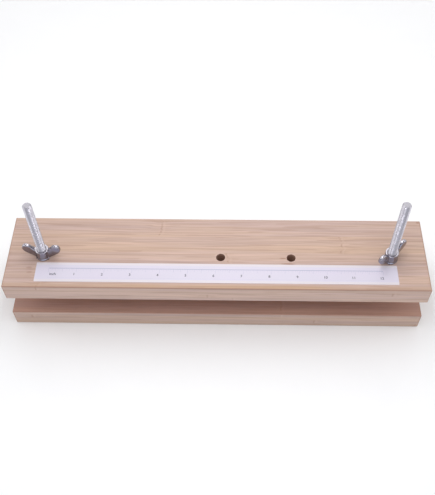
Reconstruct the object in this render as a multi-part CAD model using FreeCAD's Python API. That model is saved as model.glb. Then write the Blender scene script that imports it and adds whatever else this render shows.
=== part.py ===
"""Bookbinding press: two bamboo boards drawn together by two carriage bolts and wing nuts.

Frame: millimetres, +X along the boards, +Y towards the back, +Z up. The origin is the centre of
the lower board's underside, which is the plane that the press stands on.
"""
import FreeCAD, Part
import math
import os

V = FreeCAD.Vector
UP = V(0, 0, 1)

# ---- boards ----
BOARD_LENGTH = 387.0
BOARD_WIDTH = 79.0
BOARD_THICKNESS = 20.0
BOARD_EDGE_RADIUS = 0.8        # sanded edges, all round
JAW_GAP = 24.0                 # opening between the boards as the press is set

# ---- drilling ----
HOLE_ROW_Y = -5.0              # every hole lies on one row, a little in front of the middle
BOLT_X = 160.0                 # the two bolts stand at -BOLT_X and +BOLT_X
SPARE_HOLES_X = (4.0, 69.0)    # a bolt moves here for shorter books: 164 or 229 mm between bolts
HOLE_RADIUS = 4.25             # 8.5 mm drill, clearance for M8
HEAD_RECESS_RADIUS = 12.0      # counterbores under the lower board, for the bolts' heads
LEFT_RECESS_DEPTH = 8.0        # they aren't equally deep, so the right bolt stands 5 mm higher
RIGHT_RECESS_DEPTH = 13.0
SPARE_RECESS_DEPTH = 10.0

# ---- M8 x 130 carriage bolt, threaded all along ----
BOLT_LENGTH = 130.0            # below the head
BOLT_RADIUS = 4.0
BOLT_TIP_CHAMFER = 0.9
BOLT_HEAD_RADIUS = 10.3
BOLT_HEAD_HEIGHT = 4.9
BOLT_HEAD_RIM = 0.9            # upright rim below the domed crown
BOLT_NECK_SIDE = 8.0           # square neck, pressed into the wood so the bolt can't turn
BOLT_NECK_LENGTH = 4.8

# ---- wing nut ----
NUT_BASE_RADIUS = 6.6
NUT_TOP_RADIUS = 5.7
NUT_BOSS_HEIGHT = 11.0
NUT_BASE_RIM = 1.4             # upright rim at the foot of the boss
NUT_BORE_RADIUS = 4.05         # 0.05 mm running clearance round the bolt
NUT_SPAN = 35.5                # across both wings
NUT_HEIGHT = 16.8              # to the top of the wings
NUT_WING_THICKNESS = 3.2
NUT_WING_ROUNDING = 1.2
EAR_BULGE = 0.05               # the ear swells this far beyond its outermost points
NUT_LEFT_TURN = -3.0           # degrees from +X, as each nut stands
NUT_RIGHT_TURN = 41.0

# ---- ruler strip, printed and glued on ----
RULER_LENGTH = 330.0
RULER_WIDTH = 20.7
RULER_THICKNESS = 0.3
RULER_FRONT_Y = -33.4
RULER_CORNER_RADIUS = 0.8

# ---- levels that follow from the sizes above ----
LOWER_TOP_Z = BOARD_THICKNESS
UPPER_BASE_Z = LOWER_TOP_Z + JAW_GAP
UPPER_TOP_Z = UPPER_BASE_Z + BOARD_THICKNESS


def disc_prism(x, y, z, radius, height):
    """An upright cylinder standing on the level z."""
    return Part.makeCylinder(radius, height, V(x, y, z), UP)


def board_blank(base_z):
    """A plain board with its twelve edges eased."""
    corner = V(-BOARD_LENGTH / 2, -BOARD_WIDTH / 2, base_z)
    blank = Part.makeBox(BOARD_LENGTH, BOARD_WIDTH, BOARD_THICKNESS, corner)
    return blank.makeFillet(BOARD_EDGE_RADIUS, blank.Edges)


def upper_board():
    """The clamping board: four clearance holes, two of them spare."""
    board = board_blank(UPPER_BASE_Z)
    for x in (-BOLT_X, *SPARE_HOLES_X, BOLT_X):
        board = board.cut(disc_prism(x, HOLE_ROW_Y, UPPER_BASE_Z - 1, HOLE_RADIUS, BOARD_THICKNESS + 2))
    return board


def neck_block(x, base_z, length):
    """The square that the bolt's neck and its seat in the wood share."""
    corner = V(x - BOLT_NECK_SIDE / 2, HOLE_ROW_Y - BOLT_NECK_SIDE / 2, base_z)
    return Part.makeBox(BOLT_NECK_SIDE, BOLT_NECK_SIDE, length, corner)


def lower_board():
    """The base board: holes in line with the upper ones, counterbored from below for the heads."""
    board = board_blank(0.0)
    bolt_holes = [(-BOLT_X, LEFT_RECESS_DEPTH), (BOLT_X, RIGHT_RECESS_DEPTH)]
    spare_holes = [(x, SPARE_RECESS_DEPTH) for x in SPARE_HOLES_X]
    for x, depth in bolt_holes + spare_holes:
        board = board.cut(disc_prism(x, HOLE_ROW_Y, -1, HOLE_RADIUS, BOARD_THICKNESS + 2))
        board = board.cut(disc_prism(x, HOLE_ROW_Y, -1, HEAD_RECESS_RADIUS, depth + 1))
    for x, depth in bolt_holes:
        board = board.cut(neck_block(x, depth - 1, BOLT_NECK_LENGTH + 1))
    return board


def carriage_bolt(x, seat_z):
    """Domed head seated at seat_z, square neck in the wood, shank standing up through both boards."""
    tip_z = seat_z + BOLT_LENGTH
    shank = disc_prism(x, HOLE_ROW_Y, seat_z, BOLT_RADIUS, BOLT_LENGTH)
    tip_edges = [e for e in shank.Edges if abs(e.CenterOfMass.z - tip_z) < 1e-6]
    shank = shank.makeChamfer(BOLT_TIP_CHAMFER, tip_edges)

    # Head profile in the XZ plane: flat under the board, a short rim, then the dome's arc.
    rim_z = seat_z - BOLT_HEAD_RIM
    crown_z = seat_z - BOLT_HEAD_HEIGHT
    dome_rise = BOLT_HEAD_HEIGHT - BOLT_HEAD_RIM
    dome_radius = (BOLT_HEAD_RADIUS ** 2 + dome_rise ** 2) / (2 * dome_rise)
    half_angle = math.asin(BOLT_HEAD_RADIUS / dome_radius) / 2
    dome_middle = V(x + dome_radius * math.sin(half_angle), HOLE_ROW_Y,
                    crown_z + dome_radius * (1 - math.cos(half_angle)))
    seat_centre = V(x, HOLE_ROW_Y, seat_z)
    seat_edge = V(x + BOLT_HEAD_RADIUS, HOLE_ROW_Y, seat_z)
    rim_edge = V(x + BOLT_HEAD_RADIUS, HOLE_ROW_Y, rim_z)
    crown = V(x, HOLE_ROW_Y, crown_z)
    profile = Part.Wire([
        Part.LineSegment(seat_centre, seat_edge).toShape(),
        Part.LineSegment(seat_edge, rim_edge).toShape(),
        Part.Arc(rim_edge, dome_middle, crown).toShape(),
        Part.LineSegment(crown, seat_centre).toShape(),
    ])
    head = Part.Face(profile).revolve(seat_centre, UP, 360)
    neck = neck_block(x, seat_z, BOLT_NECK_LENGTH)
    return shank.fuse([head, neck]).removeSplitter()


def wing_outline():
    """One wing, seen along Y: it leaves the foot low, rises outwards, and ends in a blunt ear."""
    ear_x = NUT_SPAN / 2 - EAR_BULGE
    ear_z = NUT_HEIGHT - EAR_BULGE
    root_low = V(3.0, 0, 0.5)
    root_high = V(4.6, 0, 10.5)
    sweep = Part.BSplineCurve()
    sweep.interpolate([
        root_low, V(7.0, 0, 1.0), V(10.6, 0, 2.8), V(15.3, 0, 6.8), V(17.2, 0, 9.8),
        V(ear_x, 0, 12.5), V(16.5, 0, 15.5), V(13.8, 0, ear_z), V(10.6, 0, 15.7), V(8.0, 0, 12.8),
        root_high,
    ])
    return Part.Wire([sweep.toShape(), Part.LineSegment(root_high, root_low).toShape()])


def wing_blade():
    """The wing's plate, with both of its outlines rounded over."""
    plate = Part.Face(wing_outline()).extrude(V(0, NUT_WING_THICKNESS, 0))
    plate.translate(V(0, -NUT_WING_THICKNESS / 2, 0))
    outer = []
    for edge in plate.Edges:
        upright_face = abs(abs(edge.CenterOfMass.y) - NUT_WING_THICKNESS / 2) < 1e-6
        if upright_face and edge.Curve.TypeId == "Part::GeomBSplineCurve":
            outer.append(edge)
    return plate.makeFillet(NUT_WING_ROUNDING, outer)


def wing_nut(x, turn):
    """Round-winged nut on the upper board: tapered boss, two ears, and a bore for the bolt."""
    base_rim = Part.makeCylinder(NUT_BASE_RADIUS, NUT_BASE_RIM)
    taper = Part.makeCone(NUT_BASE_RADIUS, NUT_TOP_RADIUS, NUT_BOSS_HEIGHT - NUT_BASE_RIM,
                          V(0, 0, NUT_BASE_RIM), UP)
    right_wing = wing_blade()
    left_wing = right_wing.copy()
    left_wing.rotate(V(0, 0, 0), UP, 180)
    body = base_rim.fuse([taper, right_wing, left_wing])
    body = body.cut(disc_prism(0, 0, -1, NUT_BORE_RADIUS, NUT_HEIGHT + 2)).removeSplitter()
    body.rotate(V(0, 0, 0), UP, turn)
    body.translate(V(x, HOLE_ROW_Y, UPPER_TOP_Z))
    return body


def ruler_strip():
    """A thin printed strip lying on the upper board, along its front edge."""
    corner = V(-RULER_LENGTH / 2, RULER_FRONT_Y, UPPER_TOP_Z)
    strip = Part.makeBox(RULER_LENGTH, RULER_WIDTH, RULER_THICKNESS, corner)
    upright = [e for e in strip.Edges if abs(e.Length - RULER_THICKNESS) < 1e-6]
    return strip.makeFillet(RULER_CORNER_RADIUS, upright)


def main():
    """Build every node and write one STEP file for each."""
    nodes = {
        "lower_board": lower_board(),
        "upper_board": upper_board(),
        "bolt_left": carriage_bolt(-BOLT_X, LEFT_RECESS_DEPTH),
        "bolt_right": carriage_bolt(BOLT_X, RIGHT_RECESS_DEPTH),
        "wing_nut_left": wing_nut(-BOLT_X, NUT_LEFT_TURN),
        "wing_nut_right": wing_nut(BOLT_X, NUT_RIGHT_TURN),
        "ruler_strip": ruler_strip(),
    }
    os.makedirs("parts", exist_ok=True)
    for name, shape in nodes.items():
        shape.exportStep("parts/" + name + ".step")
        box = shape.BoundBox
        print(name, "solids", len(shape.Solids), "valid", shape.isValid(),
              "volume", round(shape.Volume, 1),
              "x", round(box.XMin, 2), round(box.XMax, 2),
              "y", round(box.YMin, 2), round(box.YMax, 2),
              "z", round(box.ZMin, 2), round(box.ZMax, 2))


main()
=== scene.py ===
"""Looks for the bookbinding press: bamboo boards, rolled bolts, cast wing nuts and a printed scale.

Everything is in metres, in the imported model's frame: +X along the boards, +Z up, the press standing
on z = 0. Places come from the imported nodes' boxes, apart from those of the drilled holes.
"""

import math

import bmesh
import bpy
from mathutils import Matrix, Vector


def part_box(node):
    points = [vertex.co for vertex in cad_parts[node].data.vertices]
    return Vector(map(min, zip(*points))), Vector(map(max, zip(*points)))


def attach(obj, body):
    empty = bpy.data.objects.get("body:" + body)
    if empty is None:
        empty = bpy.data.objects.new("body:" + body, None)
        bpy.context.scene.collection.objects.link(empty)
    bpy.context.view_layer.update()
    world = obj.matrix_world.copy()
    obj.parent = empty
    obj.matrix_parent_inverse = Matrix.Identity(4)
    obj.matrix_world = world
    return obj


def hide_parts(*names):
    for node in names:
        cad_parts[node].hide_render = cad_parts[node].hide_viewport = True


MM = 0.001
WELD = 1e-4 * MM               # points closer than this are one point

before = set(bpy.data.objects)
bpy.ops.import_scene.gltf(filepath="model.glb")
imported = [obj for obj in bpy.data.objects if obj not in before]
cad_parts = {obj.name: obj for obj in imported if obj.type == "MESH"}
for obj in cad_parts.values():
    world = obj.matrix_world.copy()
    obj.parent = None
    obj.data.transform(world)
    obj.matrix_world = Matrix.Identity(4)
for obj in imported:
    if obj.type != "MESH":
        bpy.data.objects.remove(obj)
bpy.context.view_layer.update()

UPPER_LOW, UPPER_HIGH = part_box("upper_board")
LOWER_LOW, LOWER_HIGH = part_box("lower_board")
RULER_LOW, RULER_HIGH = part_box("ruler_strip")


def node_axis(node):
    """(x, y) of the upright axis of a node that is symmetric about it."""
    low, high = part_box(node)
    return (low.x + high.x) / 2, (low.y + high.y) / 2


# ---------------------------------------------------------------- node graphs


class Graph:
    """A material's node tree, with short calls for the nodes that this file uses."""

    def __init__(self, name):
        self.material = bpy.data.materials.new(name)
        self.material.use_nodes = True
        self.tree = self.material.node_tree
        self.tree.nodes.clear()
        self.shader = self.tree.nodes.new("ShaderNodeBsdfPrincipled")
        output = self.tree.nodes.new("ShaderNodeOutputMaterial")
        self.tree.links.new(self.shader.outputs["BSDF"], output.inputs["Surface"])
        self.place = self.tree.nodes.new("ShaderNodeTexCoord").outputs["Object"]
        self.normal = self.tree.nodes.new("ShaderNodeNewGeometry").outputs["Normal"]

    def plug(self, socket, value):
        """Set an input to a number or colour, or link it to an output."""
        if value is None:
            return
        if isinstance(value, bpy.types.NodeSocket):
            self.tree.links.new(value, socket)
        else:
            socket.default_value = value

    def math(self, operation, a, b=None, c=None):
        node = self.tree.nodes.new("ShaderNodeMath")
        node.operation = operation
        for socket, value in zip(node.inputs, (a, b, c)):
            self.plug(socket, value)
        return node.outputs[0]

    def product(self, first, *others):
        """All the values multiplied together."""
        result = first
        for value in others:
            result = self.math("MULTIPLY", result, value)
        return result

    def split(self, vector):
        """A vector's three parts."""
        node = self.tree.nodes.new("ShaderNodeSeparateXYZ")
        self.plug(node.inputs[0], vector)
        return node.outputs

    def join(self, x, y, z):
        """A vector from three values."""
        node = self.tree.nodes.new("ShaderNodeCombineXYZ")
        for socket, value in zip(node.inputs, (x, y, z)):
            self.plug(socket, value)
        return node.outputs[0]

    def noise(self, vector, scale=1.0, detail=2.0, roughness=0.5):
        node = self.tree.nodes.new("ShaderNodeTexNoise")
        self.plug(node.inputs["Vector"], vector)
        node.inputs["Scale"].default_value = scale
        node.inputs["Detail"].default_value = detail
        node.inputs["Roughness"].default_value = roughness
        return node.outputs["Fac"]

    def chance(self, vector):
        """Three random numbers for each whole-number place."""
        node = self.tree.nodes.new("ShaderNodeTexWhiteNoise")
        node.noise_dimensions = "3D"
        self.plug(node.inputs["Vector"], vector)
        return self.split(node.outputs["Color"])

    def remap(self, value, low, high, to_low=0.0, to_high=1.0, smooth=True):
        node = self.tree.nodes.new("ShaderNodeMapRange")
        node.interpolation_type = "SMOOTHSTEP" if smooth else "LINEAR"
        for socket, given in zip(node.inputs, (value, low, high, to_low, to_high)):
            self.plug(socket, given)
        return node.outputs[0]

    def mix(self, factor, a, b, blend="MIX"):
        node = self.tree.nodes.new("ShaderNodeMix")
        node.data_type = "RGBA"
        node.blend_type = blend
        node.clamp_factor = True
        self.plug(node.inputs[0], factor)
        self.plug(node.inputs[6], a)
        self.plug(node.inputs[7], b)
        return node.outputs[2]

    def bump(self, height, distance, strength):
        node = self.tree.nodes.new("ShaderNodeBump")
        node.inputs["Strength"].default_value = strength
        node.inputs["Distance"].default_value = distance
        self.plug(node.inputs["Height"], height)
        return node.outputs[0]


def rgb(red, green, blue):
    """A linear colour with full alpha."""
    return (red, green, blue, 1.0)


# ---------------------------------------------------------------- materials

LATH_COUNT = 4                 # laths side by side across a board
LAYER_COUNT = 4                # layers of laths in a board's thickness
GLUE_LINE = 0.12 * MM          # half the width of the dark line between two laths
KNUCKLE_REACH = 11.0 * MM      # how far along the board a knuckle disturbs the fibres
KNUCKLE_BOW = 9.0 * MM         # a knuckle's line bows by a quarter of this across its lath
FIBRE_ENDS_PER_METRE = 1500.0  # on the cut ends

BOLT_X = 160.0 * MM            # the drilled holes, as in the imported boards
SPARE_HOLES_X = (4.0 * MM, 69.0 * MM)
HOLE_ROW_Y = -5.0 * MM
HOLE_RADIUS = 4.25 * MM
RECESS_RADIUS = 12.0 * MM

BAMBOO_PLAIN = (0.608, 0.443, 0.372)
# The same bamboo, darker, as painted shade for the lower board.
BAMBOO_PLAIN_SHADED = (0.520, 0.378, 0.312)
# Paler bamboo beside the knuckles, also a painted highlight round the holes.
BAMBOO_PALE_AND_HIGHLIGHT = rgb(0.70, 0.53, 0.45)
BAMBOO_DARK = rgb(0.37, 0.235, 0.175)
BAMBOO_HONEY = rgb(0.48, 0.305, 0.170)
# Stains, and also painted shade at the arrises and in the holes.
BAMBOO_STAIN_AND_SHADE = rgb(0.34, 0.195, 0.140)
# Painted shade on the faces where the two boards close on each other.
BAMBOO_JAW_SHADE = rgb(0.50, 0.250, 0.185)

# Fibres from soft bands down to single threads: how often they change along and across the board,
# per metre, the noise's detail and spread, and how strongly each kind shades the wood.
FIBRES = {
    "bands": ((4.0, 110.0, 1.0, 0.16), 0.030),
    "streaks": ((6.0, 420.0, 2.0, 0.20), 0.080),
    "lines": ((13.0, 800.0, 1.0, 0.22), 0.085),
    "threads": ((45.0, 2400.0, 2.0, 0.25), 0.045),
}
DARK_DASHES = (24.0, 900.0, 0.0, 0.35)


class Bamboo:
    """A board's laminated bamboo, solid through the board: laths with their own tone, long fibres,
    glue lines, and one knuckle in each lath where the cane's joint was. The methods from grown on
    each lay one thing over the colour that they are given, and finished makes the material."""

    def __init__(self, name, low, high, seed, knuckles):
        g = Graph(name)
        self.g, self.low, self.high = g, low, high
        self.x, self.y, self.z = g.split(g.place)
        facing = g.split(g.normal)
        self.upward = facing[2]
        self.flatness = g.math("ABSOLUTE", facing[2])
        self.level = g.remap(self.flatness, 0.5, 0.9)
        self.end_on = g.remap(g.math("ABSOLUTE", facing[0]), 0.6, 0.9)
        self.lath_width = (high.y - low.y) / LATH_COUNT
        self.layer_height = (high.z - low.z) / LAYER_COUNT
        self.across = g.math("DIVIDE", g.math("SUBTRACT", self.y, low.y), self.lath_width)
        self.up = g.math("DIVIDE", g.math("SUBTRACT", self.z, low.z), self.layer_height)
        self.lath = g.math("FLOOR", self.across)
        self.layer = g.math("FLOOR", self.up)
        self.tone, self.hue, self.slip = g.chance(g.join(self.lath, self.layer, float(seed)))
        self.own = g.math("MULTIPLY_ADD", self.slip, 7.0, float(seed))
        self.patches = self.cloud(14.0, 90.0, float(seed), 1.0)
        self.place_knuckles(knuckles)
        self.bend_fibres()
        self.measure_edges()

    def cloud(self, along, across, third, detail):
        """Noise whose grains are about 1/along long and 1/across wide."""
        g = self.g
        place = g.join(g.math("MULTIPLY", self.x, along), g.math("MULTIPLY", self.y, across), third)
        return g.noise(place, detail=detail)

    def place_knuckles(self, places):
        """Each lath's knuckle is at a chosen place in the top layer, and left to chance below it."""
        g = self.g
        knuckle_x = g.math("MULTIPLY_ADD", self.slip, self.high.x - self.low.x, self.low.x)
        top = g.math("GREATER_THAN", self.layer, LAYER_COUNT - 1.5)
        for index, place in enumerate(places):
            here = g.math("COMPARE", self.lath, float(index), 0.5)
            apart = g.math("SUBTRACT", place, knuckle_x)
            knuckle_x = g.math("MULTIPLY_ADD", g.math("MULTIPLY", here, top), apart, knuckle_x)
        middle = g.math("SUBTRACT", g.math("FRACT", self.across), 0.5)
        bow = g.product(middle, middle, KNUCKLE_BOW)
        self.ragged = self.cloud(60.0, 260.0, self.z, 3.0)
        straight = g.math("ADD", g.math("SUBTRACT", self.x, knuckle_x), bow)
        self.from_knuckle = g.math("MULTIPLY_ADD", g.math("SUBTRACT", self.ragged, 0.5), 5.0 * MM, straight)
        falloff = g.product(self.from_knuckle, self.from_knuckle, -1.0 / KNUCKLE_REACH ** 2)
        self.near = g.math("POWER", math.e, falloff)

    def bend_fibres(self):
        """Fibres run along X, swell round the knuckle and drift a little elsewhere."""
        g = self.g
        swell = g.math("SUBTRACT", self.cloud(45.0, 55.0, self.lath, 1.0), 0.5)
        drift = g.math("SUBTRACT", self.cloud(9.0, 40.0, self.slip, 1.0), 0.5)
        shift = g.math("MULTIPLY_ADD", drift, 1.6 * MM, g.product(swell, self.near, 6.0 * MM))
        self.bent_y = g.math("ADD", self.y, shift)
        self.bent_z = g.math("MULTIPLY_ADD", shift, 0.5, self.z)

    def depth_between(self, place, near_side, far_side):
        """How far a place lies inside the nearer of two opposite faces."""
        g = self.g
        from_middle = g.math("ABSOLUTE", g.math("SUBTRACT", place, (near_side + far_side) / 2))
        return g.math("SUBTRACT", (far_side - near_side) / 2, from_middle)

    def measure_edges(self):
        """How deep a place lies inside the faces and the nearest arris, and which arrises are shaded more.
        """
        g = self.g
        low, high = self.low, self.high
        inset_x = self.depth_between(self.x, low.x, high.x)
        inset_y = self.depth_between(self.y, low.y, high.y)
        inset_z = self.depth_between(self.z, low.z, high.z)
        lesser = g.math("MINIMUM", inset_x, inset_y)
        greater = g.math("MAXIMUM", inset_x, inset_y)
        self.to_arris = g.math("MAXIMUM", lesser, g.math("MINIMUM", greater, inset_z))
        self.inset_y = inset_y
        in_front = g.math("LESS_THAN", self.y, (high.y + low.y) / 2)
        self.above = g.math("GREATER_THAN", self.z, (high.z + low.z) / 2)
        self.upper_front = g.math("MULTIPLY", in_front, self.above)
        upper_end = g.math("MULTIPLY", g.math("LESS_THAN", inset_x, 1.5 * MM), self.above)
        self.handled = g.math("MAXIMUM", self.upper_front, upper_end)

    def fibre(self, along, across, detail, spread):
        """Streaks about 1/across wide and 1/along long, different in every lath, from -1 to 1."""
        g = self.g
        place = g.join(g.math("MULTIPLY_ADD", self.x, along, self.own),
                       g.math("MULTIPLY", self.bent_y, across), g.math("MULTIPLY", self.bent_z, across))
        streak = g.noise(place, detail=detail, roughness=0.6)
        return g.remap(streak, 0.5 - spread, 0.5 + spread, -1.0, 1.0)

    def grown(self, ground):
        """Plain wood of the colour ground, leaning to rose or to straw, with its fibres."""
        g = self.g
        self.fibres = {}
        shade = 1.0
        for kind, (pattern, strength) in FIBRES.items():
            self.fibres[kind] = self.fibre(*pattern)
            shade = g.math("MULTIPLY_ADD", self.fibres[kind], strength, shade)
        shade = g.math("MULTIPLY_ADD", g.math("SUBTRACT", self.tone, 0.5), 0.06, shade)
        colour = g.mix(1.0, rgb(*ground), g.join(shade, shade, shade), "MULTIPLY")
        lean = g.math("MULTIPLY_ADD", g.math("SUBTRACT", self.hue, 0.5), 0.10,
                      g.math("MULTIPLY", self.fibres["bands"], 0.055))
        redder = g.math("MULTIPLY_ADD", lean, 0.25, 1.0)
        bluer = g.math("MULTIPLY_ADD", lean, -1.0, 1.0)
        colour = g.mix(1.0, colour, g.join(redder, 1.0, bluer), "MULTIPLY")
        dashes = g.remap(self.fibre(*DARK_DASHES), 0.42, 0.62)
        return g.mix(g.math("MULTIPLY", dashes, 0.34), colour, BAMBOO_DARK)

    def knuckled(self, colour):
        """A thin dark ring at each knuckle, a paler one beside it, and a faint stain around them."""
        g = self.g
        ring = g.remap(g.math("ABSOLUTE", self.from_knuckle), 0.2 * MM, 1.1 * MM, 1.0, 0.0)
        beside = g.math("ABSOLUTE", g.math("SUBTRACT", self.from_knuckle, 2.2 * MM))
        halo = g.remap(beside, 0.2 * MM, 1.5 * MM, 1.0, 0.0)
        patchy = g.remap(self.ragged, 0.40, 0.62)
        colour = g.mix(g.product(ring, patchy, 0.60), colour, BAMBOO_DARK)
        colour = g.mix(g.math("MULTIPLY", halo, 0.25), colour, BAMBOO_PALE_AND_HIGHLIGHT)
        return g.mix(g.math("MULTIPLY", self.near, 0.08), colour, BAMBOO_HONEY)

    def glued(self, colour):
        """Dark lines where laths and layers meet."""
        g = self.g
        to_lath = g.math("MULTIPLY", g.math("PINGPONG", self.across, 0.5), self.lath_width)
        to_layer = g.math("MULTIPLY", g.math("PINGPONG", self.up, 0.5), self.layer_height)
        to_joint = g.math("MINIMUM", to_lath, to_layer)
        self.seam = g.remap(to_joint, GLUE_LINE, 3.0 * GLUE_LINE, 0.30, 0.0)
        return g.mix(self.seam, colour, BAMBOO_DARK)

    def cut_ends(self, colour):
        """Ends show dark fibre ends in a paler pith, denser towards one side of each layer."""
        g = self.g
        cells = g.tree.nodes.new("ShaderNodeTexVoronoi")
        cells.inputs["Scale"].default_value = FIBRE_ENDS_PER_METRE
        g.plug(cells.inputs["Vector"], g.join(0.0, self.y, self.z))
        dense = g.math("MULTIPLY_ADD", g.math("FRACT", self.up), 0.22, 0.16)
        fibre_end = g.math("LESS_THAN", cells.outputs["Distance"], dense)
        end_colour = g.mix(0.22, colour, BAMBOO_DARK)
        end_colour = g.mix(g.math("MULTIPLY", fibre_end, 0.50), end_colour, BAMBOO_DARK)
        return g.mix(self.end_on, colour, end_colour)

    def skinned(self, colour, honey):
        """The skin side of the cane shows as a stripe along the front, strongest in the middle."""
        g = self.g
        near_front = g.remap(self.inset_y, 2.8 * MM, 5.6 * MM, honey, 0.0)
        uneven = g.remap(self.patches, 0.30, 0.62, 0.55, 1.0)
        fading = g.remap(g.math("ABSOLUTE", self.x), 60.0 * MM, 130.0 * MM, 1.0, 0.45)
        mostly_front = g.math("MULTIPLY_ADD", self.upper_front, 0.88, 0.12)
        stripe = g.product(near_front, self.level, uneven, fading, mostly_front)
        return g.mix(stripe, colour, BAMBOO_HONEY)

    def worn(self, colour):
        """Painted shade standing in for eased arrises: a darker band and a dark line, most of all on the
        upper ones in front and at the ends.
        """
        g = self.g
        dusk = g.remap(self.to_arris, 0.8 * MM, 4.0 * MM, 0.16, 0.0)
        uneven = g.remap(self.patches, 0.35, 0.60, 1.0, 0.3)
        colour = g.mix(g.product(dusk, self.handled, uneven), colour, BAMBOO_STAIN_AND_SHADE)
        # Painted shade: a dark line on each arris, where its rounding would be.
        arris = g.remap(self.to_arris, 0.55 * MM, 1.1 * MM, 1.0, 0.0)
        arris = g.math("MULTIPLY", arris, g.math("MULTIPLY_ADD", self.handled, 0.50, 0.30))
        return g.mix(arris, colour, BAMBOO_STAIN_AND_SHADE)

    def pasted(self, colour, jaw_shade):
        """Painted shade on the face that closes on the book, where the other board shades it."""
        g = self.g
        jaw = g.math("MULTIPLY", self.upward, jaw_shade)
        return g.mix(g.remap(jaw, 0.1, 1.0, smooth=False), colour, BAMBOO_JAW_SHADE)

    def marked(self, colour, marks):
        """Small stains, and a split beside a hole, on the top face only."""
        g = self.g
        on_top = g.math("MULTIPLY", self.level, self.above)
        for mark_x, mark_y, half_length, half_width, strength in marks:
            along = g.math("DIVIDE", g.math("SUBTRACT", self.x, mark_x * MM), half_length * MM)
            beside = g.math("DIVIDE", g.math("SUBTRACT", self.bent_y, mark_y * MM), half_width * MM)
            spread = g.math("ADD", g.math("MULTIPLY", along, along), g.math("MULTIPLY", beside, beside))
            stain = g.math("MULTIPLY", g.remap(spread, 0.0, 1.0, strength, 0.0), on_top)
            colour = g.mix(stain, colour, BAMBOO_STAIN_AND_SHADE)
        return colour

    def drilled(self, colour):
        """A painted highlight round the holes' mouths, and painted shade on the walls in and round them."""
        g = self.g
        to_hole = 1.0
        for hole_x in (-BOLT_X, *SPARE_HOLES_X, BOLT_X):
            dx = g.math("SUBTRACT", self.x, hole_x)
            dy = g.math("SUBTRACT", self.y, HOLE_ROW_Y)
            squares = g.math("ADD", g.math("MULTIPLY", dx, dx), g.math("MULTIPLY", dy, dy))
            to_hole = g.math("MINIMUM", to_hole, g.math("SQRT", squares))
        # Painted highlight on a thin ring round each hole's mouth.
        rim_highlight = g.remap(to_hole, HOLE_RADIUS + 0.3 * MM, HOLE_RADIUS + 0.8 * MM, 0.5, 0.0)
        colour = g.mix(g.math("MULTIPLY", rim_highlight, self.level), colour, BAMBOO_PALE_AND_HIGHLIGHT)
        # Painted shade on the upright walls in and round the holes.
        within = g.math("LESS_THAN", to_hole, RECESS_RADIUS + 0.5 * MM)
        upright = g.math("LESS_THAN", self.flatness, 0.5)
        inside = g.math("GREATER_THAN", self.inset_y, 2.0 * MM)
        return g.mix(g.product(within, upright, inside, 0.70), colour, BAMBOO_STAIN_AND_SHADE)

    def finished(self, colour):
        """The material, satin where the streaks are, with a fine relief along the fibres."""
        g = self.g
        g.plug(g.shader.inputs["Base Color"], colour)
        g.plug(g.shader.inputs["Roughness"], g.remap(self.fibres["streaks"], -1.0, 1.0, 0.62, 0.50))
        g.shader.inputs["Specular IOR Level"].default_value = 0.30
        relief = g.math("MULTIPLY_ADD", self.fibres["threads"], 0.3,
                        g.math("MULTIPLY", self.fibres["lines"], 0.3))
        relief = g.math("SUBTRACT", relief, g.math("MULTIPLY", self.seam, 1.2))
        g.plug(g.shader.inputs["Normal"], g.bump(relief, 0.06 * MM, 0.6))
        return g.material


def bamboo(name, low, high, seed, knuckles, ground, honey, jaw_shade, marks):
    """One board's material. ground is the wood's plain colour, honey the strength of the stripe along
    the front, the jaw's painted shade how far the face that closes on the book is darker where the other
    board shades it, negative where that face looks down, and marks the small stains on top."""
    wood = Bamboo(name, low, high, seed, knuckles)
    colour = wood.grown(ground)
    colour = wood.knuckled(colour)
    colour = wood.glued(colour)
    colour = wood.cut_ends(colour)
    colour = wood.skinned(colour, honey)
    colour = wood.worn(colour)
    colour = wood.pasted(colour, jaw_shade)
    colour = wood.marked(colour, marks)
    colour = wood.drilled(colour)
    return wood.finished(colour)


def plated_steel(name, tint, roughness, grain, relief, top_tint, top_from, top_share):
    """Bright zinc plate: a slightly violet grey metal with cloudy patches and a faint grain. Faces
    that look up take top_tint, as far as top_share, beginning at the upward slope top_from."""
    g = Graph(name)
    clouds = g.noise(g.place, 160.0)
    pits = g.noise(g.place, grain, roughness=0.6)
    darker = rgb(*(0.90 * c for c in tint[:3]))
    shade = g.mix(g.remap(clouds, 0.35, 0.65), tint, darker)
    looks_up = g.remap(g.split(g.normal)[2], top_from, 0.95, 0.0, top_share)
    g.plug(g.shader.inputs["Base Color"], g.mix(looks_up, shade, top_tint))
    g.shader.inputs["Metallic"].default_value = 1.0
    g.plug(g.shader.inputs["Roughness"], g.remap(clouds, 0.3, 0.7, *roughness))
    g.plug(g.shader.inputs["Normal"], g.bump(pits, relief, 0.5))
    return g.material


FILM_COOL = rgb(0.64, 0.60, 0.69)
FILM_LIGHT = rgb(0.65, 0.60, 0.70)
FILM_BARE = rgb(0.69, 0.635, 0.67)
FILM_MOTTLE = rgb(0.5, 0.5, 0.6)
FILM_PRINTED_HALF = 7.2 * MM   # half the width of the printed ground, before it fades into bare film
FILM_FADE = 1.2 * MM


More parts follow.
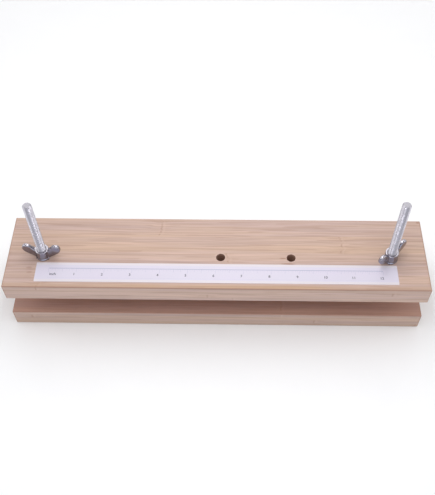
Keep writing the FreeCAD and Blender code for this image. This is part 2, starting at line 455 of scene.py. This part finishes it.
def print_film(name):
    """White film: a cool printed ground with warmer bare margins, faintly mottled."""
    g = Graph(name)
    mottle = g.noise(g.place, 900.0, 3.0)
    x, y, _ = g.split(g.place)
    middle = (RULER_LOW.y + RULER_HIGH.y) / 2
    from_middle = g.math("ABSOLUTE", g.math("SUBTRACT", y, middle))
    bare = g.remap(from_middle, FILM_PRINTED_HALF, FILM_PRINTED_HALF + FILM_FADE)
    wide = g.noise(g.join(g.math("MULTIPLY", x, 12.0), g.math("MULTIPLY", y, 60.0), 0.0), detail=1.0)
    ground = g.mix(g.remap(wide, 0.35, 0.65), FILM_COOL, FILM_LIGHT)
    colour = g.mix(bare, ground, FILM_BARE)
    colour = g.mix(g.remap(mottle, 0.35, 0.65, 0.0, 0.06), colour, FILM_MOTTLE)
    g.plug(g.shader.inputs["Base Color"], colour)
    g.plug(g.shader.inputs["Roughness"], g.remap(mottle, 0.3, 0.7, 0.38, 0.48))
    g.plug(g.shader.inputs["Normal"], g.bump(mottle, 0.01 * MM, 0.4))
    return g.material


def ink(name, colour, spread):
    """Printing ink, a little uneven: spread is how much lighter its pale spots are."""
    g = Graph(name)
    speckle = g.noise(g.place, 4000.0)
    lighter = rgb(*(c + spread for c in colour[:3]))
    g.plug(g.shader.inputs["Base Color"], g.mix(g.remap(speckle, 0.35, 0.7), colour, lighter))
    g.plug(g.shader.inputs["Roughness"], g.remap(speckle, 0.3, 0.7, 0.45, 0.6))
    return g.material


UPPER_KNUCKLES = (-0.160, 0.011, 0.117, -0.052)   # X of each lath's knuckle, front lath first
LOWER_KNUCKLES = (0.062, -0.118, 0.150, -0.020)
UPPER_MARKS = [                # x, y, half length, half width, all in mm, and strength
    (62.0, -5.4, 4.6, 0.8, 0.85),
    (-171.5, -18.5, 3.5, 1.6, 0.40),
    (-170.5, -23.5, 3.5, 1.3, 0.45),
    (-154.0, 12.0, 6.0, 1.2, 0.28),
    (-60.0, 37.0, 16.0, 1.6, 0.22),
    (191.0, 37.5, 2.2, 1.8, 0.60),
    (66.0, -11.7, 8.5, 1.2, 0.85),
]

# Both boards carry painted shade on the faces that close on each other.
UPPER_BAMBOO = bamboo("bamboo_upper", UPPER_LOW, UPPER_HIGH, 3, UPPER_KNUCKLES, BAMBOO_PLAIN,
                      honey=0.62, jaw_shade=-0.5, marks=UPPER_MARKS)
# The lower board's ground is the same bamboo darkened as painted shade.
LOWER_BAMBOO = bamboo("bamboo_lower", LOWER_LOW, LOWER_HIGH, 8, LOWER_KNUCKLES, BAMBOO_PLAIN_SHADED,
                      honey=0.10, jaw_shade=0.5, marks=[])
# The first colour is a painted highlight for the nuts' upward faces.
ZINC_TOP_HIGHLIGHT = rgb(0.62, 0.59, 0.64)
SAWN_STEEL = rgb(0.40, 0.39, 0.42)
BOLT_METAL = plated_steel("bolt_zinc", rgb(0.58, 0.56, 0.62), roughness=(0.26, 0.30), grain=1500.0,
                          relief=0.001 * MM, top_tint=SAWN_STEEL, top_from=0.92, top_share=0.8)
# The nuts' upward faces take a painted highlight.
NUT_METAL = plated_steel("nut_zinc", rgb(0.34, 0.32, 0.36), roughness=(0.18, 0.26), grain=700.0,
                         relief=0.012 * MM, top_tint=ZINC_TOP_HIGHLIGHT, top_from=0.55, top_share=0.7)
FILM = print_film("ruler_film")
LINE_INK = ink("line_ink", rgb(0.36, 0.36, 0.50), 0.05)
NUMERAL_INK = ink("numeral_ink", rgb(0.07, 0.07, 0.10), 0.03)


# ---------------------------------------------------------------- mesh helpers


def new_object(name, vertices, faces, material, smooth=True):
    """An object from plain lists, linked to the scene."""
    mesh = bpy.data.meshes.new(name)
    mesh.from_pydata(vertices, [], faces)
    mesh.materials.append(material)
    if smooth:
        mesh.shade_smooth()
    else:
        mesh.shade_flat()
    piece = bpy.data.objects.new(name, mesh)
    bpy.context.scene.collection.objects.link(piece)
    return piece


def cleaned(piece, weld):
    """Weld doubled points, drop empty faces and turn all faces outwards."""
    b = bmesh.new()
    b.from_mesh(piece.data)
    bmesh.ops.remove_doubles(b, verts=b.verts, dist=weld)
    bmesh.ops.dissolve_degenerate(b, edges=b.edges, dist=weld)
    bmesh.ops.recalc_face_normals(b, faces=b.faces)
    b.to_mesh(piece.data)
    b.free()
    return piece


def applied(piece):
    """Replace the piece's mesh by what its modifiers make of it."""
    bpy.context.view_layer.update()
    graph = bpy.context.evaluated_depsgraph_get()
    mesh = bpy.data.meshes.new_from_object(piece.evaluated_get(graph))
    piece.modifiers.clear()
    piece.data = mesh
    return piece


def merged(name, pieces):
    """One object holding all the given pieces' faces, with their materials."""
    with bpy.context.temp_override(active_object=pieces[0], selected_editable_objects=pieces,
                                   object=pieces[0], selected_objects=pieces):
        bpy.ops.object.join()
    pieces[0].name = name
    pieces[0].data.name = name
    return pieces[0]


def lathe(name, profile, axis, material, segments=96):
    """A closed solid of revolution from (radius, z) points, the first and last on the axis."""
    vertices = []
    faces = []
    for radius, z in profile:
        for step in range(segments):
            turn = 2 * math.pi * step / segments
            vertices.append((axis[0] + radius * math.cos(turn), axis[1] + radius * math.sin(turn), z))
    for ring in range(len(profile) - 1):
        for step in range(segments):
            after = (step + 1) % segments
            a = ring * segments
            b = a + segments
            faces.append((a + step, a + after, b + after, b + step))
    return cleaned(new_object(name, vertices, faces, material), WELD)


def arc_points(centre, radius, start, end, count):
    """(r, z) points along an arc, angles in degrees."""
    points = []
    for step in range(count + 1):
        turn = math.radians(start + (end - start) * step / count)
        points.append((centre[0] + radius * math.cos(turn), centre[1] + radius * math.sin(turn)))
    return points


# ---------------------------------------------------------------- bolts

BOLT_RADIUS = 4.0 * MM
PITCH = 1.25 * MM              # M8 coarse
THREAD_DEPTH = 0.70 * MM
CREST_SHARE = 0.20             # part of the pitch that the rounded crest takes
ROOT_SHARE = 0.22
FLANK_SHARE = (1.0 - CREST_SHARE - ROOT_SHARE) / 2
CREST_ROUNDING = 0.05 * MM     # the crest's shoulders lie this far below its middle
THREAD_PROFILE = [             # (share of the pitch, depth below the crest), up one turn
    (0.0, CREST_ROUNDING),
    (CREST_SHARE / 2, 0.0),
    (CREST_SHARE, CREST_ROUNDING),
    (CREST_SHARE + FLANK_SHARE / 2, THREAD_DEPTH / 2),
    (CREST_SHARE + FLANK_SHARE, THREAD_DEPTH),
    (CREST_SHARE + FLANK_SHARE + ROOT_SHARE, THREAD_DEPTH),
    (1.0 - FLANK_SHARE / 2, THREAD_DEPTH / 2),
]
STEPS_PER_TURN = 40
TIP_CONE = 1.0 * MM            # height of the chamfer at the bolt's end
HEAD_HEIGHT = 4.9 * MM
HEAD_RIM = 0.9 * MM
HEAD_SOFTENING = 0.25 * MM     # round the upper edge of the head's rim
NECK_LENGTH = 4.8 * MM
NECK_HALF = 4.0 * MM
NECK_CORNER = 0.5 * MM
NECK_SINK = 0.2 * MM           # how far the neck reaches into the head
SHANK_SINK = 0.5 * MM          # how far the shank reaches into the neck


def threaded_shank(name, axis, bottom, top):
    """A right-hand thread as one helical strip, ended by a chamfer above and a flat below."""
    rows = len(THREAD_PROFILE)
    turns = math.ceil((top - bottom) / PITCH) + 3
    steps = turns * STEPS_PER_TURN
    tip_radius = BOLT_RADIUS - TIP_CONE
    vertices = []
    for step in range(steps + 1):
        turn = 2 * math.pi * step / STEPS_PER_TURN
        base = bottom - 2 * PITCH + PITCH * step / STEPS_PER_TURN
        for share, depth in THREAD_PROFILE:
            z = base + share * PITCH
            if z >= top:
                radius, z = tip_radius, top
            elif z <= bottom:
                radius, z = BOLT_RADIUS - THREAD_DEPTH, bottom
            else:
                radius = min(BOLT_RADIUS - depth, tip_radius + (top - z))
            vertices.append((axis[0] + radius * math.cos(turn), axis[1] + radius * math.sin(turn), z))
    faces = []
    for step in range(steps):
        for row in range(rows - 1):
            a = step * rows + row
            faces.append((a, a + rows, a + rows + 1, a + 1))
        if step + 1 + STEPS_PER_TURN <= steps:
            a = step * rows + rows - 1
            above = (step + STEPS_PER_TURN) * rows
            faces.append((a, a + rows, above + rows, above))
    shank = cleaned(new_object(name, vertices, faces, BOLT_METAL), WELD)
    fill_holes(shank)
    crisp_above(shank, top - 0.01 * MM)
    return shank


def crisp_above(piece, level):
    """Keep the edges that lie wholly above a level sharp."""
    b = bmesh.new()
    b.from_mesh(piece.data)
    for edge in b.edges:
        if min(vertex.co.z for vertex in edge.verts) > level:
            edge.smooth = False
    b.to_mesh(piece.data)
    b.free()


def fill_holes(piece):
    """Close the open rings that are left at a strip's ends."""
    b = bmesh.new()
    b.from_mesh(piece.data)
    edges = [e for e in b.edges if e.is_boundary]
    bmesh.ops.holes_fill(b, edges=edges, sides=0)
    loose = [v for v in b.verts if not v.link_faces]
    bmesh.ops.delete(b, geom=loose, context="VERTS")
    bmesh.ops.recalc_face_normals(b, faces=b.faces)
    b.to_mesh(piece.data)
    b.free()


def bolt_head(name, axis, seat, low, radius):
    """The domed head, flat where it bears on the wood."""
    rim = seat - HEAD_RIM
    rise = rim - low
    dome = (radius ** 2 + rise ** 2) / (2 * rise)
    half = math.degrees(math.asin(radius / dome))
    bevel = 0.28 * HEAD_SOFTENING
    profile = [(0.0, seat), (radius - HEAD_SOFTENING, seat), (radius - bevel, seat - bevel),
               (radius, seat - HEAD_SOFTENING), (radius, rim)]
    profile += arc_points((0.0, low + dome), dome, -90 + half, -90, 14)[1:]
    return lathe(name, profile, axis, BOLT_METAL)


def bolt_neck(name, axis, bottom, top):
    """The square neck, with its upright corners rolled over."""
    straight = NECK_HALF - NECK_CORNER
    outline = []
    for quarter in range(4):
        start = quarter * 90
        centre = (straight if quarter in (0, 3) else -straight, straight if quarter in (0, 1) else -straight)
        for px, py in arc_points(centre, NECK_CORNER, start, start + 90, 4):
            outline.append((axis[0] + px, axis[1] + py))
    count = len(outline)
    vertices = [(x, y, bottom) for x, y in outline] + [(x, y, top) for x, y in outline]
    faces = [tuple(range(count - 1, -1, -1)), tuple(range(count, 2 * count))]
    faces += [(i, (i + 1) % count, (i + 1) % count + count, i + count) for i in range(count)]
    return new_object(name, vertices, faces, BOLT_METAL, smooth=False)


def carriage_bolt(node):
    """The bolt that stands for a CAD bolt: head, square neck and threaded shank."""
    low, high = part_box(node)
    axis = node_axis(node)
    seat = low.z + HEAD_HEIGHT
    neck_top = seat + NECK_LENGTH
    head = bolt_head(node + "_head", axis, seat, low.z, (high.x - low.x) / 2)
    neck = bolt_neck(node + "_neck", axis, seat - NECK_SINK, neck_top)
    shank = threaded_shank(node + "_shank", axis, neck_top - SHANK_SINK, high.z)
    bolt = merged(node + "_rolled", [shank, neck, head])
    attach(bolt, "lower_jaw")
    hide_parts(node)


# ---------------------------------------------------------------- wing nuts

BOSS_BASE_RADIUS = 6.6 * MM
BOSS_TOP_RADIUS = 6.0 * MM
BOSS_HEIGHT = 11.0 * MM
BOSS_CHAMFER = 0.3 * MM        # at the foot
BOSS_RIM = 1.4 * MM            # height of the upright rim at the foot
BOSS_STEP = 0.6 * MM           # the taper begins this far in from the rim, and as far above it
BOSS_ROUNDING = 0.35 * MM      # at the top
BOSS_SHOULDER = 0.5 * MM       # the taper ends this far below the top
BORE_RADIUS = 4.08 * MM
BORE_FLARE = 0.35 * MM         # the countersinks' width and depth
NUT_VOXEL = 0.26 * MM
WING_HALF_THICKNESS = 1.65 * MM
WING_ROUNDING = 1.15 * MM
WING_OUTLINE = [                # (outwards, up) in mm round one wing, starting inside the boss
    (3.0, 0.9), (7.0, 1.1), (10.6, 2.8), (15.3, 6.8), (17.2, 9.8), (17.65, 12.6), (16.5, 15.5),
    (13.8, 16.8), (10.6, 15.9), (8.3, 13.2), (5.8, 10.9), (3.0, 10.2),
]


def curve_through(points, between):
    """A closed Catmull-Rom curve through the points."""
    count = len(points)
    result = []
    for index in range(count):
        p0, p1, p2, p3 = (Vector(points[(index + k) % count]) for k in (-1, 0, 1, 2))
        for step in range(between):
            t = step / between
            result.append(0.5 * (2 * p1 + (p2 - p0) * t + (2 * p0 - 5 * p1 + 4 * p2 - p3) * t * t
                                 + (3 * p1 - p0 - 3 * p2 + p3) * t ** 3))
    return result


def inset(outline, depth):
    """The anticlockwise outline moved inwards by depth."""
    count = len(outline)
    result = []
    for index in range(count):
        along = (outline[(index + 1) % count] - outline[index - 1]).normalized()
        result.append(outline[index] + Vector((-along.y, along.x)) * depth)
    return result


def wing_blank(name, side):
    """One wing as a closed plate with a rounded rim, in the nut's own frame."""
    outline = [point * MM for point in curve_through(WING_OUTLINE, 8)]
    rings = []
    steps = 5
    for level in range(-steps, steps + 1):
        turn = math.radians(90 * abs(level) / steps)
        out = WING_HALF_THICKNESS - WING_ROUNDING + WING_ROUNDING * math.sin(turn)
        ring = inset(outline, WING_ROUNDING * (1 - math.cos(turn)))
        rings.append([(side * p.x, math.copysign(out, level) if level else 0.0, p.y) for p in ring])
    count = len(outline)
    vertices = [point for ring in rings for point in ring]
    faces = []
    for ring in range(len(rings) - 1):
        for step in range(count):
            after = (step + 1) % count
            a = ring * count
            b = a + count
            faces.append((a + step, a + after, b + after, b + step))
    faces.append(tuple(range(count)))
    faces.append(tuple(range(len(rings) * count - 1, (len(rings) - 1) * count - 1, -1)))
    return cleaned(new_object(name, vertices, faces, NUT_METAL), 10 * WELD)


def nut_boss(name):
    """The tapered boss: a foot rim, a taper above it, and a rounded top edge."""
    profile = [(0.0, 0.0), (BOSS_BASE_RADIUS - BOSS_CHAMFER, 0.0), (BOSS_BASE_RADIUS, BOSS_CHAMFER),
               (BOSS_BASE_RADIUS, BOSS_RIM), (BOSS_BASE_RADIUS - BOSS_STEP, BOSS_RIM + BOSS_STEP),
               (BOSS_TOP_RADIUS, BOSS_HEIGHT - BOSS_SHOULDER)]
    centre = (BOSS_TOP_RADIUS - BOSS_ROUNDING, BOSS_HEIGHT - BOSS_ROUNDING)
    profile += arc_points(centre, BOSS_ROUNDING, 20, 90, 4)
    profile += [(0.0, BOSS_HEIGHT)]
    return lathe(name, profile, (0.0, 0.0), NUT_METAL)


def nut_bore(name):
    """What the drill and the countersinks take out of the nut."""
    below = 1.0 * MM
    above = 8.0 * MM
    profile = [(0.0, -below), (BORE_RADIUS + BORE_FLARE + below, -below), (BORE_RADIUS, BORE_FLARE),
               (BORE_RADIUS, BOSS_HEIGHT - BORE_FLARE),
               (BORE_RADIUS + BORE_FLARE + above, BOSS_HEIGHT + above), (0.0, BOSS_HEIGHT + above)]
    return lathe(name, profile, (0.0, 0.0), NUT_METAL)


EAR_MIDDLE = Vector((13.4 * MM, 11.4 * MM))   # outwards, up
EAR_RADIUS = 4.2 * MM
EAR_SWELL = 0.22               # share of the wing's thickness added in the middle of each ear
ROOT_SWELL = 0.35              # and where the wing meets the boss
ROOT_FROM = 10.0 * MM          # the root's swelling begins here and is full ROOT_FADE further in
ROOT_FADE = 4.0 * MM


def swell_wings(piece):
    """Fatten the wings towards the boss and in the middle of each ear, as the casting is."""
    for vertex in piece.data.vertices:
        reach = abs(vertex.co.x)
        if abs(vertex.co.y) > 3.0 * MM or reach < 5.0 * MM:
            continue
        root = min(max((ROOT_FROM - reach) / ROOT_FADE, 0.0), 1.0)
        off = (Vector((reach, vertex.co.z)) - EAR_MIDDLE).length / EAR_RADIUS
        vertex.co.y *= 1.0 + ROOT_SWELL * root * root * (3 - 2 * root) + EAR_SWELL * math.exp(-off * off)


def wing_nut(node, body, turn):
    """A cast wing nut: boss and wings melted together, smoothed, and drilled."""
    low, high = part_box(node)
    axis = node_axis(node)
    blank = merged(node + "_cast", [nut_boss(node + "_boss"), wing_blank(node + "_right_wing", 1),
                                    wing_blank(node + "_left_wing", -1)])
    melt = blank.modifiers.new("melt", "REMESH")
    melt.mode = "VOXEL"
    melt.voxel_size = NUT_VOXEL
    melt.use_smooth_shade = True
    ease = blank.modifiers.new("ease", "SMOOTH")
    ease.factor = 0.5
    ease.iterations = 5
    applied(blank)
    swell_wings(blank)
    bore = nut_bore(node + "_bore")
    drill = blank.modifiers.new("drill", "BOOLEAN")
    drill.operation = "DIFFERENCE"
    drill.solver = "EXACT"
    drill.object = bore
    applied(blank)
    bpy.data.objects.remove(bore)
    blank.data.materials.clear()
    blank.data.materials.append(NUT_METAL)
    blank.data.shade_smooth()
    blank.data.transform(Matrix.Translation((axis[0], axis[1], low.z)) @ Matrix.Rotation(turn, 4, "Z"))
    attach(blank, body)
    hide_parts(node)


# ---------------------------------------------------------------- printed scale

INCH = 25.4 * MM
INCHES = 12
SCALE_ZERO_X = RULER_LOW.x + 12.0 * MM
NUMERAL_LEFT = 1.7 * MM         # numerals stand this much before their mark
SCALE_LINE_Y = RULER_HIGH.y - 6.2 * MM
SCALE_LINE_HALF = 0.27 * MM
NUMERAL_Y = RULER_HIGH.y - 12.7 * MM
NUMERAL_DROP = 1.4 * MM         # the row of numerals runs this much askew, down to its high end
NUMERAL_SIZE = 3.6 * MM
UNIT_X = SCALE_ZERO_X + 4.2 * MM
UNIT_SIZE = 3.7 * MM
LOWER_LINE_Y = RULER_HIGH.y - 16.6 * MM
LOWER_LINE_HALF = 0.03 * MM
LONG_TICK_HALF = 0.08 * MM     # half the width of the inch and half-inch marks
SHORT_TICK_HALF = 0.055 * MM
TICKS_PER_INCH = 16
PRINT_HEIGHT = 0.02 * MM
SINK = 0.01 * MM               # how far the print reaches into the film, so that it is seated
BOLDER = 0.07 * MM             # added round each stroke of the lettering
TICK_LENGTHS = {16: 4.2, 8: 3.2, 4: 2.5, 2: 1.9, 1: 1.3}   # mm, for every so many marks


def flat_bar(low_x, high_x, low_y, high_y):
    """A very thin closed bar lying in the film's face: (vertices, faces)."""
    low_z = RULER_HIGH.z - SINK
    high_z = RULER_HIGH.z + PRINT_HEIGHT
    vertices = [(x, y, z) for z in (low_z, high_z) for y in (low_y, high_y) for x in (low_x, high_x)]
    faces = [(0, 2, 3, 1), (4, 5, 7, 6), (0, 1, 5, 4), (1, 3, 7, 5), (3, 2, 6, 7), (2, 0, 4, 6)]
    return vertices, faces


def scale_lines():
    """The long lines and the sixteenth-inch marks, as one piece."""
    end_x = SCALE_ZERO_X + INCHES * INCH
    bars = [
        flat_bar(SCALE_ZERO_X, end_x, SCALE_LINE_Y - SCALE_LINE_HALF, SCALE_LINE_Y + SCALE_LINE_HALF),
        flat_bar(SCALE_ZERO_X, end_x, LOWER_LINE_Y - LOWER_LINE_HALF, LOWER_LINE_Y + LOWER_LINE_HALF),
    ]
    start_y = SCALE_LINE_Y - SCALE_LINE_HALF
    for mark in range(INCHES * TICKS_PER_INCH + 1):
        step = max(s for s in TICK_LENGTHS if mark % s == 0)
        x = SCALE_ZERO_X + mark * INCH / TICKS_PER_INCH
        half = LONG_TICK_HALF if step >= TICKS_PER_INCH / 2 else SHORT_TICK_HALF
        bars.append(flat_bar(x - half, x + half, start_y - TICK_LENGTHS[step] * MM, start_y))
    vertices = []
    faces = []
    for bar_vertices, bar_faces in bars:
        faces += [tuple(i + len(vertices) for i in face) for face in bar_faces]
        vertices += bar_vertices
    return new_object("scale_lines", vertices, faces, LINE_INK, smooth=False)


def printed_text(name, words, x, y, size):
    """Words or a numeral printed on the film, centred on x, as a closed thin mesh."""
    curve = bpy.data.curves.new(name, "FONT")
    curve.body = words
    curve.size = size
    curve.align_x = "CENTER"
    curve.align_y = "CENTER"
    curve.extrude = (PRINT_HEIGHT + SINK) / 2
    curve.offset = BOLDER
    text = bpy.data.objects.new(name, curve)
    bpy.context.scene.collection.objects.link(text)
    bpy.context.view_layer.update()
    graph = bpy.context.evaluated_depsgraph_get()
    mesh = bpy.data.meshes.new_from_object(text.evaluated_get(graph))
    mesh.transform(Matrix.Translation((x, y, RULER_HIGH.z + (PRINT_HEIGHT - SINK) / 2)))
    mesh.materials.clear()
    mesh.materials.append(NUMERAL_INK)
    mesh.shade_flat()
    bpy.data.objects.remove(text)
    piece = bpy.data.objects.new(name, mesh)
    bpy.context.scene.collection.objects.link(piece)
    return cleaned(piece, WELD)


def printed_scale():
    """Lines, numerals and the unit's name."""
    pieces = [scale_lines()]
    texts = [printed_text("unit", "inch", UNIT_X, NUMERAL_Y, UNIT_SIZE)]
    for number in range(1, INCHES + 1):
        x = SCALE_ZERO_X + number * INCH - NUMERAL_LEFT
        y = NUMERAL_Y - NUMERAL_DROP * (number / INCHES) ** 2
        texts.append(printed_text("numeral_%d" % number, str(number), x, y, NUMERAL_SIZE))
    pieces.append(merged("scale_numerals", texts))
    for piece in pieces:
        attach(piece, "upper_jaw")


# ---------------------------------------------------------------- the object

LEFT_NUT_TURN = math.radians(-3.0)     # from +X, as each nut stands
RIGHT_NUT_TURN = math.radians(41.0)


def dress(node, material):
    """Give a CAD node its material."""
    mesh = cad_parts[node].data
    mesh.materials.clear()
    mesh.materials.append(material)


dress("upper_board", UPPER_BAMBOO)
dress("lower_board", LOWER_BAMBOO)
dress("ruler_strip", FILM)
carriage_bolt("bolt_left")
carriage_bolt("bolt_right")
wing_nut("wing_nut_left", "left_nut", LEFT_NUT_TURN)
wing_nut("wing_nut_right", "right_nut", RIGHT_NUT_TURN)
printed_scale()


# ---------------------------------------------------------------- studio


def floor():
    """A plain pale surface under the press."""
    half = 4.0
    level = -0.1 * MM          # a hair below the press, so that the two don't share a plane
    corners = [(-half, -half, level), (half, -half, level), (half, half, level), (-half, half, level)]
    g = Graph("studio_floor")
    grain = g.noise(g.place, 30.0, 2.0)
    g.plug(g.shader.inputs["Base Color"], g.mix(grain, rgb(0.93, 0.93, 0.93), rgb(0.95, 0.95, 0.95)))
    g.shader.inputs["Roughness"].default_value = 0.9
    piece = new_object("floor", corners, [(0, 1, 2, 3)], g.material, smooth=False)


def softbox(name, place, aim, size, radiance, colour):
    """A rectangular lamp at place, facing aim, with the given radiance."""
    lamp = bpy.data.lights.new(name, "AREA")
    lamp.shape = "RECTANGLE"
    lamp.size, lamp.size_y = size
    lamp.energy = radiance * math.pi * size[0] * size[1]
    lamp.color = colour
    light = bpy.data.objects.new(name, lamp)
    light.location = place
    light.rotation_euler = (Vector(aim) - Vector(place)).to_track_quat("-Z", "Y").to_euler()
    bpy.context.scene.collection.objects.link(light)


WHITE = (1.0, 1.0, 1.0)
COOL = (0.76, 0.95, 1.20)


def studio():
    """Soft light from overhead, both sides and the front, in a pale grey room."""
    centre = (0.0, 0.0, 0.06)
    softbox("overhead", (0.0, 0.0, 0.55), (0.0, 0.0, 0.0), (0.14, 0.6), 3.8, WHITE)
    softbox("back_overhead", (0.0, 0.70, 0.75), centre, (1.2, 0.45), 1.1, WHITE)
    softbox("left_side", (-1.1, 0.1, 0.75), centre, (0.8, 0.8), 1.5, WHITE)
    softbox("right_side", (1.1, 0.1, 0.75), centre, (0.8, 0.8), 1.5, WHITE)
    softbox("front_fill", (0.0, -1.3, 0.30), centre, (1.8, 0.5), 1.2, COOL)
    world = bpy.data.worlds.new("studio")
    world.use_nodes = True
    world.node_tree.nodes["Background"].inputs["Color"].default_value = rgb(0.98, 0.98, 1.0)
    world.node_tree.nodes["Background"].inputs["Strength"].default_value = 0.6
    bpy.context.scene.world = world
    bpy.context.scene.view_settings.view_transform = "Standard"


CAMERA_TARGET = Vector((0.9 * MM, 6.2 * MM, 64.0 * MM))
CAMERA_DISTANCE = 686.6 * MM
CAMERA_HEADING = math.radians(-1.65)   # from +Y towards +X
CAMERA_DIP = math.radians(54.28)       # below the horizon
CAMERA_ROLL = math.radians(-0.81)
CAMERA_LENS = 53.55


def camera():
    """The camera: above the front edge, looking down at the boards."""
    forward = Vector((math.sin(CAMERA_HEADING) * math.cos(CAMERA_DIP),
                      math.cos(CAMERA_HEADING) * math.cos(CAMERA_DIP), -math.sin(CAMERA_DIP)))
    right = Vector((math.cos(CAMERA_HEADING), -math.sin(CAMERA_HEADING), 0.0))
    up = right.cross(forward)
    rolled_right = right * math.cos(CAMERA_ROLL) + up * math.sin(CAMERA_ROLL)
    rolled_up = up * math.cos(CAMERA_ROLL) - right * math.sin(CAMERA_ROLL)
    data = bpy.data.cameras.new("camera")
    data.lens = CAMERA_LENS
    data.sensor_width = 36.0
    data.clip_start = 0.01
    eye = bpy.data.objects.new("camera", data)
    turn = Matrix((rolled_right, rolled_up, -forward)).transposed().to_4x4()
    eye.matrix_world = Matrix.Translation(CAMERA_TARGET - forward * CAMERA_DISTANCE) @ turn
    bpy.context.scene.collection.objects.link(eye)
    bpy.context.scene.camera = eye


floor()
studio()
camera()
